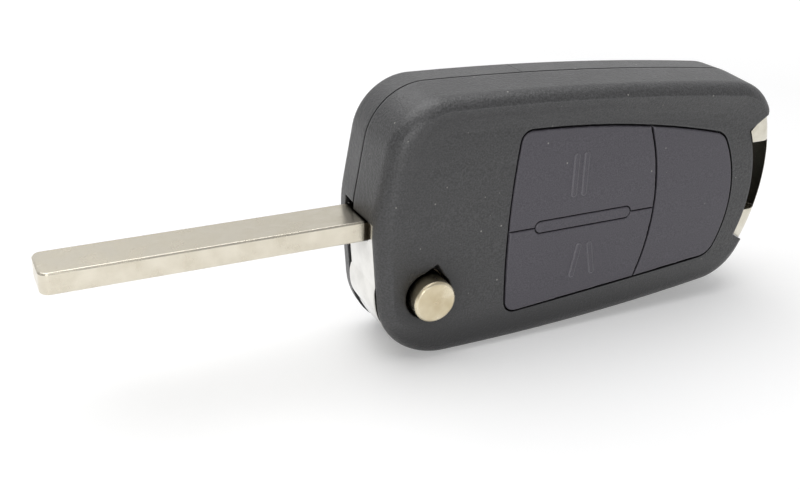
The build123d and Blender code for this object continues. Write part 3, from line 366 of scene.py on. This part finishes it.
MATERIALS = {
    # Case halves and battery cover: coarse eroded texture, edges pale with wear and painted
    # highlight
    "shell": moulded_plastic(
        "textured_shell",
        dark=SHELL_COLOUR,
        light=SHELL_LIGHT,
        edge_highlight=SHELL_EDGE_HIGHLIGHT,
        grain_mm=0.24,
        depth_mm=0.07,
        rough=(0.35, 0.43),
        edge_mm=0.45,
        specular=0.62,
    ),
    # Keys, filler panel and rubber mat: smoother and slightly purple
    "key": moulded_plastic(
        "smooth_key",
        dark=KEY_COLOUR,
        light=KEY_LIGHT,
        edge_highlight=KEY_EDGE_HIGHLIGHT,
        grain_mm=0.16,
        depth_mm=0.014,
        rough=(0.34, 0.42),
        edge_mm=0.3,
    ),
    # Tray, washer and chip lid: plain black, unworn
    "inner": moulded_plastic(
        "inner_plastic",
        dark=INNER_COLOUR,
        light=INNER_LIGHT,
        edge_highlight=INNER_LIGHT,
        grain_mm=0.3,
        depth_mm=0.01,
        rough=(0.35, 0.5),
        edge_mm=0.1,
    ),
    # Uncut blade: warm nickel with drawn lines along its length
    "blade": worn_metal(
        "nickel_blade",
        dark=BLADE_COLOUR,
        light=BLADE_LIGHT,
        rough=(0.30, 0.20),
        line_mm=0.12,
        depth_mm=0.004,
        gap_shade_mm=0.8,
        stretch=(14, 1, 1),
    ),
    # Release button: yellowed nickel with a rounded rim
    "button": worn_metal(
        "nickel_button",
        dark=BUTTON_COLOUR,
        light=BUTTON_LIGHT,
        rough=(0.34, 0.24),
        line_mm=0.2,
        depth_mm=0.003,
        gap_shade_mm=2.6,
        edge_mm=0.35,
    ),
    # Flip hub: bright chrome, with painted shade where it turns into the case and near the floor
    "chrome": worn_metal(
        "bright_chrome",
        dark=CHROME_COLOUR,
        light=CHROME_LIGHT,
        rough=(0.10, 0.05),
        line_mm=0.3,
        depth_mm=0.001,
        gap_shade_mm=9.0,
        stretch=(1, 4, 1),
    ),
    # Key ring loop: cast and plated, a little duller
    "loop": worn_metal(
        "cast_loop",
        dark=LOOP_COLOUR,
        light=LOOP_LIGHT,
        rough=(0.22, 0.12),
        line_mm=0.4,
        depth_mm=0.003,
        gap_shade_mm=1.5,
        stretch=(1, 3, 1),
    ),
    # Plunger, cup, stop pin and screws
    "steel": worn_metal(
        "plain_steel",
        dark=STEEL_COLOUR,
        light=STEEL_LIGHT,
        rough=(0.4, 0.25),
        line_mm=0.2,
        depth_mm=0.003,
        gap_shade_mm=0.8,
    ),
    # Coil spring and roll pin
    "spring": worn_metal(
        "spring_steel",
        dark=SPRING_COLOUR,
        light=SPRING_LIGHT,
        rough=(0.4, 0.3),
        line_mm=0.2,
        depth_mm=0.003,
        gap_shade_mm=0.5,
    ),
}
FINISHES = {
    "shell": ("front_shell", "back_shell", "battery_cover"),
    "key": ("lock_button", "unlock_button", "blank_panel", "key_mat"),
    "inner": ("hub_washer", "board_tray", "chip_cover"),
    "blade": ("blade",),
    "button": ("release_button",),
    "chrome": ("flip_hub",),
    "loop": ("ring_loop",),
    "steel": ("lock_plunger", "spring_cup", "stop_pin", "case_screws"),
    "spring": ("blade_pin", "flip_spring"),
}


def finish_nodes():
    """Gives every CAD node its material."""
    for finish, node_names in FINISHES.items():
        for node_name in node_names:
            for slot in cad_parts[node_name].material_slots:
                slot.material = MATERIALS[finish]


def add_pressed_spring():
    """Copy of the flip spring with a mesh of its own, hung on the case in place of the CAD spring.
    """
    coil = bpy.data.objects.new("flip_spring_coil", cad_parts["flip_spring"].data.copy())
    bpy.context.collection.objects.link(coil)
    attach(coil, "case")
    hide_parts("flip_spring")
    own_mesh(coil)


def add_camera():
    """Camera at the photograph's place and angle."""
    azimuth, elevation = CAMERA_AZIMUTH, CAMERA_ELEVATION
    back = Vector((sin(azimuth) * cos(elevation), -cos(azimuth) * cos(elevation), sin(elevation)))
    level = Vector((cos(azimuth), sin(azimuth), 0))
    above = back.cross(level)
    right = cos(CAMERA_ROLL) * level + sin(CAMERA_ROLL) * above
    up = cos(CAMERA_ROLL) * above - sin(CAMERA_ROLL) * level
    turn = Matrix((right, up, back)).transposed().to_4x4()
    data = bpy.data.cameras.new("photo_camera")
    data.sensor_fit = "HORIZONTAL"
    data.sensor_width = SENSOR_WIDTH
    data.lens = FOCAL_PIXELS * SENSOR_WIDTH / PHOTO_WIDTH
    data.clip_start = CLIP_START * MM
    camera = bpy.data.objects.new("photo_camera", data)
    camera.matrix_world = Matrix.Translation(Vector(CAMERA_PLACE) * MM) @ turn
    bpy.context.collection.objects.link(camera)
    bpy.context.scene.camera = camera


def ray_kind(tree, name):
    """1 for the rays of one kind, else 0."""
    return add_node(tree, "ShaderNodeLightPath").outputs[name]


def direct_rays(tree):
    """1 for camera, glossy and transmission rays, else 0."""
    mirrored = calculate(
        tree, "MAXIMUM", ray_kind(tree, "Is Camera Ray"), ray_kind(tree, "Is Glossy Ray")
    )
    return calculate(tree, "MAXIMUM", mirrored, ray_kind(tree, "Is Transmission Ray"))


def add_floor():
    """Pale floor at the foot of the key, lifted to white further off, with its shadow kept."""
    bpy.ops.mesh.primitive_plane_add(size=FLOOR_SIZE * MM)
    floor = bpy.context.object
    floor.name = "floor"
    material, tree, shader = start_material("pale_floor")
    shader.inputs["Base Color"].default_value = FLOOR_COLOUR
    shader.inputs["Roughness"].default_value = FLOOR_ROUGHNESS
    near_glow = calculate(tree, "MULTIPLY", direct_rays(tree), FLOOR_GLOW)
    distance = calculate_vector(tree, "LENGTH", object_place(tree), result="Value")
    far_glow = spread(tree, distance, (FLOOR_NEAR * MM, FLOOR_FAR * MM), (0.0, FAR_GLOW))
    seen = ray_kind(tree, "Is Camera Ray")
    strength = calculate(tree, "MULTIPLY_ADD", far_glow, seen, near_glow)
    glow = add_node(tree, "ShaderNodeEmission", Color=FLOOR_GLOW_COLOUR, Strength=strength)
    both = add_node(tree, "ShaderNodeAddShader")
    fill_socket(tree, both.inputs[0], shader.outputs["BSDF"])
    fill_socket(tree, both.inputs[1], glow.outputs["Emission"])
    fill_socket(tree, tree.nodes["Material Output"].inputs["Surface"], both.outputs["Shader"])
    floor.data.materials.append(material)


def add_world():
    """Soft sky, dimmer overhead than at the horizon, and dimmer in front and on the left."""
    world = bpy.data.worlds.new("studio")
    bpy.context.scene.world = world
    world.use_nodes = True
    tree = world.node_tree
    background = tree.nodes["Background"]
    direction = add_node(tree, "ShaderNodeTexCoord").outputs["Generated"]
    along = add_node(tree, "ShaderNodeSeparateXYZ", Vector=direction).outputs
    height = spread(tree, along["Z"], (0.0, 1.0))
    by_depth = spread(tree, along["Y"], (-1, 1), (SKY_FRONT, SKY_FULL))
    by_side = spread(tree, along["X"], (-1, 0), (SKY_LEFT, SKY_FULL))
    sides = calculate(tree, "MULTIPLY", by_depth, by_side)
    shade = calculate(tree, "MAXIMUM", sides, ray_kind(tree, "Is Camera Ray"))
    light = spread(tree, direct_rays(tree), (0, 1), (SKY_LIGHT, SKY_FULL))
    strength = calculate(tree, "MULTIPLY", light, shade)
    fill_socket(tree, background.inputs["Color"], blend_colours(tree, height, SKY_LOW, SKY_HIGH))
    fill_socket(tree, background.inputs["Strength"], strength)


def add_lamp(name, place_mm, size_mm, power):
    """Square area lamp at a place, aimed at the middle of the fob."""
    data = bpy.data.lights.new(name, "AREA")
    data.size = size_mm * MM
    data.energy = power
    lamp = bpy.data.objects.new(name, data)
    place = Vector(place_mm) * MM
    lamp.location = place
    lamp.rotation_euler = (Vector(FOB_MIDDLE) * MM - place).to_track_quat("-Z", "Y").to_euler()
    bpy.context.collection.objects.link(lamp)


paint_blade_root_shade(MATERIALS["blade"])
paint_hollow_shade(MATERIALS["shell"])
brown_button_middle(MATERIALS["button"])
finish_nodes()
add_pressed_spring()

add_floor()
add_world()
for lamp_name, lamp_settings in LAMPS.items():
    add_lamp(lamp_name, **lamp_settings)
add_camera()
bpy.context.scene.view_settings.view_transform = "Standard"
